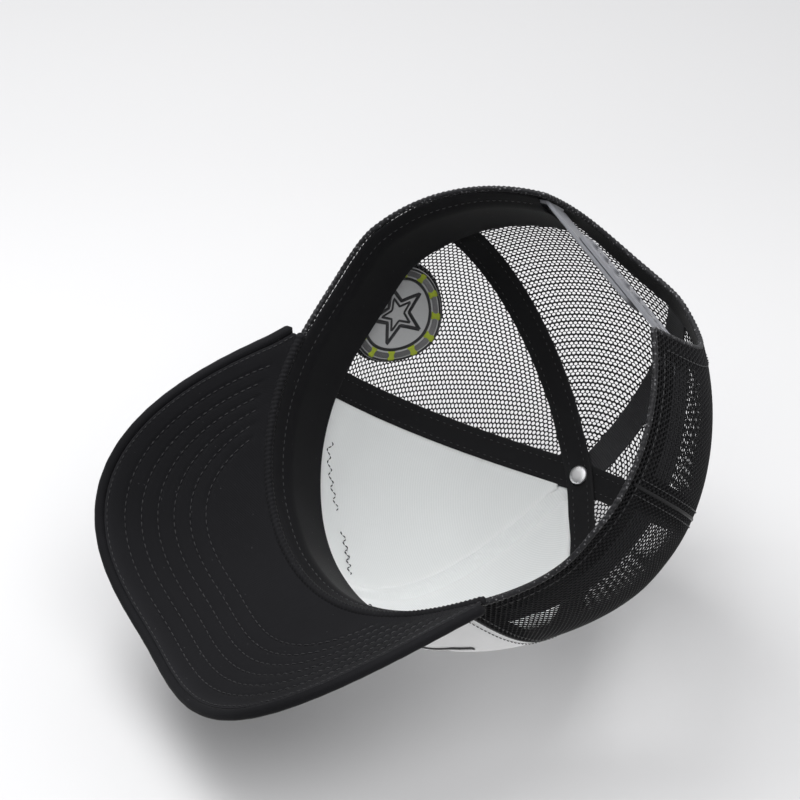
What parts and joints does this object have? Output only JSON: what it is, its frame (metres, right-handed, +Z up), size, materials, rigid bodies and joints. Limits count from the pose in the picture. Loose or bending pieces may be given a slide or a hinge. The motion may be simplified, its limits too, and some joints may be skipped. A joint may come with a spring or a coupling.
{
  "type": "trucker mesh cap",
  "caption": "Trucker cap with lined white front panels, black mesh sides and back, a curved cloth visor, inner sweatband and an adjustable snap strap across the rear opening.",
  "frame": {"origin": "middle of the footprint, on the surface the cap stands on", "axes": "+Z up, -Y the way the visor points, +X the wearer's left; the head opening leans back by 11.8 degrees because the cap stands on the visor's corners and the rear rim"},
  "size_m": [0.1884, 0.2595, 0.1338],
  "materials": {
    "front_cloth": "plain weave, matte",
    "foam_lining": "brushed tricot over foam, matte",
    "mesh": "knitted net, slightly glossy yarn",
    "seam_tape": "cotton twill tape, matte",
    "twill": "cotton twill, matte",
    "interlining": "non-woven, matte",
    "visor_board": "moulded sheet",
    "visor_twill": "cotton twill, matte",
    "thread": "polyester thread",
    "button_metal": "pressed",
    "rivet_metal": "polished",
    "strap_plastic": "smoky translucent, satin",
    "patch_cloth": "embroidered",
    "patch_backing": "embroidery back"
  },
  "bodies": {
    "cap": {"front_panel_left": "front_cloth", "front_panel_right": "front_cloth", "front_lining_left": "foam_lining", "front_lining_right": "foam_lining", "center_seam_ridge": "foam_lining", "side_mesh_left": "mesh", "side_mesh_right": "mesh", "back_mesh_left": "mesh", "back_mesh_right": "mesh", "seam_tape_left_front": "seam_tape", "seam_tape_right_front": "seam_tape", "seam_tape_back": "seam_tape", "rim_hem_left": "mesh", "rim_hem_right": "mesh", "opening_binding": "seam_tape", "sweatband": "twill", "sweatband_interlining": "interlining", "visor_board": "visor_board", "visor_top_cover": "visor_twill", "visor_under_cover": "visor_twill", "visor_edge": "visor_twill", "visor_stitching": "thread", "visor_seam_bead": "thread", "button_cover": "visor_twill", "button_shell": "button_metal", "button_rivet": "rivet_metal", "strap_tab_left": "strap_plastic", "strap_tab_right": "strap_plastic", "side_patch": "patch_cloth", "patch_backing": "patch_backing", "front_embroidery": "thread"},
    "peg_strap": {"snap_strap_pegs": "strap_plastic"},
    "hole_strap": {"snap_strap_holes": "strap_plastic"}
  },
  "joints": [
    {"name": "peg_strap_bend", "type": "hinge", "parent": "cap", "child": "peg_strap", "pos_m": [0.03989, 0.11081, 0.0107], "axis": [0, 0.2045, 0.9789], "range_deg": [0, 50], "stiffness_Nm_per_rad": 0.02},
    {"name": "hole_strap_bend", "type": "hinge", "parent": "cap", "child": "hole_strap", "pos_m": [-0.03989, 0.11247, 0.01036], "axis": [0, 0.2045, 0.9789], "range_deg": [0, 60], "stiffness_Nm_per_rad": 0.02}
  ]
}
